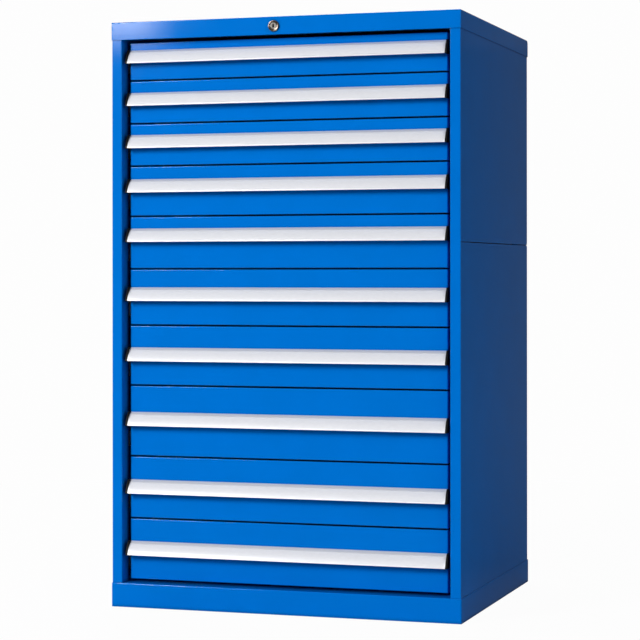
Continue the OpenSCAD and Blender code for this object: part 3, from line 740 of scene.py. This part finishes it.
def floor_finish(name, dark, light):
    """A matt floor with a faint grain: its material, its tree, and its shader, not yet on the output."""
    material, tree, place = new_material(name)
    grain = add(tree, "ShaderNodeTexNoise", {"Vector": place, "Scale": lumps(8), "Detail": 3})
    tint = add(tree, "ShaderNodeMix", {
        FACTOR: grain, COLOUR_A: linear(dark), COLOUR_B: linear(light),
    }, data_type="RGBA")
    shader = add(tree, "ShaderNodeBsdfPrincipled", {
        "Base Color": tint.outputs[MIXED_COLOUR], "Roughness": 0.9,
    })
    return material, tree, shader


def rays(tree, white):
    """Two levels, 0 for all other rays: white for one from the camera, and 1 for one that gloss sends on."""
    path = add(tree, "ShaderNodeLightPath").outputs
    seen = add(tree, "ShaderNodeMath", {0: path["Is Camera Ray"], 1: white}, operation="MULTIPLY")
    mirrored = add(tree, "ShaderNodeMath", {
        0: path["Is Glossy Ray"], 1: path["Is Transmission Ray"],
    }, operation="MAXIMUM")
    return seen, mirrored


def floor_disc():
    """A plain pale floor that keeps a soft shadow and runs out into the white background."""
    material, tree, shader = floor_finish("pale_floor", "#c9c9c9", "#d1d1d1")
    seen, mirrored = rays(tree, FLOOR_WHITE)
    white = add(tree, "ShaderNodeEmission", {"Color": (1, 1, 1, 1), "Strength": 1.0})
    pale = add(tree, "ShaderNodeMixShader", {0: seen, 1: shader, 2: white})
    # the gloss doesn't mirror the floor, so the sides stay clear down to the base
    clear = add(tree, "ShaderNodeBsdfTransparent")
    mix = add(tree, "ShaderNodeMixShader", {0: mirrored, 1: pale, 2: clear})
    add(tree, "ShaderNodeOutputMaterial", {"Surface": mix})
    bm = bmesh.new()
    bmesh.ops.create_circle(bm, cap_ends=True, segments=96, radius=FLOOR_R)
    stage("floor", as_mesh("floor", bm, [material]))


def floor_under_base():
    """The floor that the base encloses, painted dark as the shade that lies there, which shows through the
    anchor holes.
    """
    # a dark diffuse sheet in place of the white that the floor shows the camera: painted shade under the
    # base
    material, tree, shader = floor_finish("floor_painted_shade", "#5c5c5c", "#646464")
    add(tree, "ShaderNodeOutputMaterial", {"Surface": shader})
    low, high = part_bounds("base_plinth")
    inset = 4 * MM
    lift = 0.3 * MM
    left, right = low.x + inset, high.x - inset
    front, rear = low.y + inset, high.y - inset
    bm = bmesh.new()
    corners = ((left, front), (right, front), (right, rear), (left, rear))
    bm.faces.new([bm.verts.new((x, y, lift)) for x, y in corners])
    stage("floor_under_base", as_mesh("floor_under_base", bm, [material]))


def studio_world():
    """A white background. All else sees a dim studio, and the gloss mirrors the walls in STUDIO."""
    world = bpy.data.worlds.new("studio")
    world.use_nodes = True
    tree = world.node_tree
    tree.nodes.clear()
    direction = add(tree, "ShaderNodeTexCoord").outputs["Generated"]
    along = add(tree, "ShaderNodeSeparateXYZ", {0: direction}).outputs
    # what lights the surfaces is dim all round and a little brighter overhead
    overhead = add(tree, "ShaderNodeMapRange", {
        "Value": along["Z"], "From Min": 0.1, "From Max": 0.9, "To Min": 0.035, "To Max": 0.14,
    }, interpolation_type="SMOOTHSTEP")
    level = {
        name: add(tree, "ShaderNodeMapRange", {
            "Value": along[axis], "From Min": start, "From Max": end, "To Min": before, "To Max": after,
        })
        for name, (axis, start, end, before, after) in STUDIO.items()
    }
    mirror = level["rear"]
    for factor in ("corner", "low", "skirting", "high", "behind"):
        mirror = add(tree, "ShaderNodeMath", {0: mirror, 1: level[factor]}, operation="MULTIPLY")
    ground = add(tree, "ShaderNodeMath", {0: level["below"], 1: level["front"]}, operation="MULTIPLY")
    for glow in (level["ceiling"], ground, level["left"]):
        mirror = add(tree, "ShaderNodeMath", {0: mirror, 1: glow}, operation="ADD")
    seen, mirrored = rays(tree, BACKGROUND_WHITE)
    studio = add(tree, "ShaderNodeMix", {FACTOR: mirrored, NUMBER_A: overhead, NUMBER_B: mirror})
    strength = add(tree, "ShaderNodeMath", {0: seen, 1: studio}, operation="MAXIMUM")
    shine = add(tree, "ShaderNodeBackground", {"Color": (1, 1, 1, 1), "Strength": strength})
    add(tree, "ShaderNodeOutputWorld", {"Surface": shine})
    bpy.context.scene.world = world


def fade_out(light, share):
    """Fades a softbox towards its rim, over the given share of each half across and along."""
    light.use_nodes = True
    tree = light.node_tree
    tree.nodes.clear()
    spot = add(tree, "ShaderNodeNewGeometry").outputs["Parametric"]
    across = add(tree, "ShaderNodeSeparateXYZ", {0: spot}).outputs
    # the light's face runs from 0 to 1 each way, so its rim is this far from its middle
    rim = 0.5
    levels = []
    for axis, part in zip("XY", share):
        offset = add(tree, "ShaderNodeMath", {0: across[axis], 1: rim}, operation="SUBTRACT")
        distance = add(tree, "ShaderNodeMath", {0: offset}, operation="ABSOLUTE")
        levels.append(add(tree, "ShaderNodeMapRange", {
            "Value": distance, "From Min": rim - part / 2, "From Max": rim, "To Min": 1.0, "To Max": 0.0,
        }, interpolation_type="SMOOTHSTEP"))
    both = add(tree, "ShaderNodeMath", {0: levels[0], 1: levels[1]}, operation="MULTIPLY")
    glow = add(tree, "ShaderNodeEmission", {"Strength": both})
    add(tree, "ShaderNodeOutputLight", {"Surface": glow})


def softbox(name, place, target, size, watts, fade=None):
    """A rectangular softbox that points at a target, with a faded rim if fade gives its share."""
    light = bpy.data.lights.new(name, "AREA")
    light.shape = "RECTANGLE"
    light.size, light.size_y = size
    light.energy = watts
    if fade:
        fade_out(light, fade)
    lamp = bpy.data.objects.new(name, light)
    lamp.location = place
    lamp.rotation_euler = (Vector(target) - Vector(place)).to_track_quat("-Z", "Y").to_euler()
    lamp.visible_camera = False
    bpy.context.scene.collection.objects.link(lamp)


def front_camera():
    """The camera, level and in front of the cabinet, a little to its right."""
    data = bpy.data.cameras.new("camera")
    data.sensor_width = 36
    data.lens = 117.687
    data.shift_x = -0.0425
    data.shift_y = -0.0765
    camera = bpy.data.objects.new("camera", data)
    camera.location = (1.3434, -4.1132, 0.6664)
    camera.rotation_euler = (math.radians(90), math.radians(0.04), math.radians(17.555))
    bpy.context.scene.collection.objects.link(camera)
    bpy.context.scene.camera = camera


floor_disc()
floor_under_base()
studio_world()
softbox("key_softbox", (-2.475, -4.14, 2.47), (0, -0.29, 0.6), (1.4, 1.96), 304, fade=(0.28, 0.3))
softbox("fill_softbox", (1.8, -1.45, 1.6), (0.36, -0.1, 0.8), (2.2, 2.2), 16, fade=(0.3, 0.3))
softbox("low_strip", (1.05, -0.85, 0.1), (0.36, -0.2, 0.05), (0.8, 0.12), 0.75)
softbox("rear_softbox", (-1.0, 2.4, 3.0), (0, 0.29, 0.6), (2.0, 2.0), 86, fade=(0.3, 0.3))
front_camera()
bpy.context.scene.view_settings.view_transform = "Standard"
